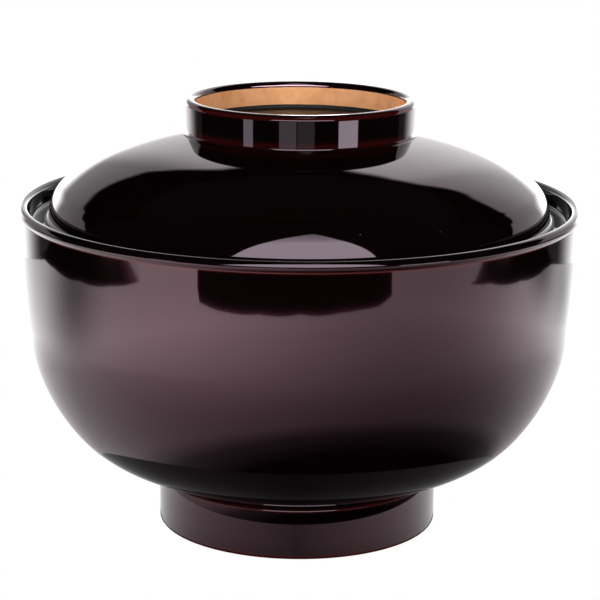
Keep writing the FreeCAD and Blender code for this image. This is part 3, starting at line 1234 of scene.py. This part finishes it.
def hang_lights(black):
    """Softbox in front, backdrop behind, and a flag and a small lamp over the ring."""
    seen_by(outline("stage_softbox", on_sphere(SOFTBOX, SOFTBOX_REACH, SOFTBOX_EYE), lit_leaf()))
    half = math.radians(WALL_HALF)
    seen_by(curved_wall("stage_backdrop", WALL_REACH, half, WALL_HEIGHT, lit_backdrop()))
    seen_by(outline("stage_flag_ring", RING_FLAG, black))
    lamp = glow_paper("lit_lamp_over_ring", LAMP_STRENGTH)
    seen_by(disc("stage_lamp_over_ring", LAMP_RADIUS, 32, LAMP_PLACE, lamp))


def light_room(scene, paper):
    """White surround for the camera, an almost dark room for the gloss, and fill for the rest."""
    world = bpy.data.worlds.new("studio")
    scene.world = world
    world.use_nodes = True
    tree = world.node_tree
    tree.nodes.clear()
    path = add(tree, "ShaderNodeLightPath")
    seen = add(tree, "ShaderNodeBackground", {"Color": paper, "Strength": SEEN_LEVEL})
    room = add(tree, "ShaderNodeBackground", {"Color": ROOM_TINT, "Strength": ROOM_LEVEL})
    fill = add(tree, "ShaderNodeBackground", {"Color": paper, "Strength": FILL_LEVEL})
    lit = add(
        tree,
        "ShaderNodeMixShader",
        i0=path.outputs["Is Camera Ray"],
        i1=fill.outputs[0],
        i2=seen.outputs[0],
    )
    both = add(
        tree,
        "ShaderNodeMixShader",
        i0=path.outputs["Is Glossy Ray"],
        i1=lit.outputs[0],
        i2=room.outputs[0],
    )
    add(tree, "ShaderNodeOutputWorld", Surface=both.outputs[0])


def place_camera(scene, setup):
    bpy.ops.object.camera_add()
    camera = bpy.context.object
    camera.data.lens = setup.lens
    camera.data.sensor_width = 36.0
    camera.data.clip_start = 0.01
    camera.matrix_world = (
        Matrix.Translation((setup.side, -setup.distance, setup.camera_height))
        @ Matrix.Rotation(QUARTER - setup.pitch, 4, "X")
        @ Matrix.Rotation(setup.roll, 4, "Z")
    )
    scene.camera = camera
    scene.view_settings.view_transform = "Standard"
    scene.view_settings.look = "None"


class RICEBOWL_OT_studio(bpy.types.Operator):
    """Pale floor, soft studio light and camera"""

    bl_idname = "rice_bowl.studio"
    bl_label = "Studio"

    def execute(self, context):
        setup = sizes()[3]
        black = glow_paper("black_flag", 0.0)
        lay_floor(setup.paper)
        lay_table()
        lay_flags_and_cards(black)
        hang_lights(black)
        light_room(context.scene, setup.paper)
        place_camera(context.scene, setup)
        return {"FINISHED"}


STEPS = (
    RICEBOWL_OT_bowl_outside,
    RICEBOWL_OT_bowl_inside,
    RICEBOWL_OT_lid_coats,
    RICEBOWL_OT_ring_inside,
    RICEBOWL_OT_under_layers,
    RICEBOWL_OT_studio,
)


class RICEBOWL_PT_panel(bpy.types.Panel):
    bl_idname = "RICEBOWL_PT_panel"
    bl_label = "Lidded lacquer bowl"
    bl_space_type = "VIEW_3D"
    bl_region_type = "UI"
    bl_category = "Lacquer Bowl"

    def draw(self, context):
        for made in STEPS:
            self.layout.operator(made.bl_idname)


GROUPS = {
    "bowl_sizes": BowlSizes,
    "lid_sizes": LidSizes,
    "coat_look": CoatLook,
    "studio_setup": StudioSetup,
}


def register():
    for name, group in GROUPS.items():
        bpy.utils.register_class(group)
        setattr(bpy.types.Scene, name, PointerProperty(type=group))
    for made in STEPS + (RICEBOWL_PT_panel,):
        bpy.utils.register_class(made)


def unregister():
    for made in (RICEBOWL_PT_panel,) + STEPS[::-1]:
        bpy.utils.unregister_class(made)
    for name, group in GROUPS.items():
        delattr(bpy.types.Scene, name)
        bpy.utils.unregister_class(group)


def main():
    register()
    for made in STEPS:
        group, step_name = made.bl_idname.split(".")
        getattr(getattr(bpy.ops, group), step_name)()


if __name__ == "__main__":
    main()
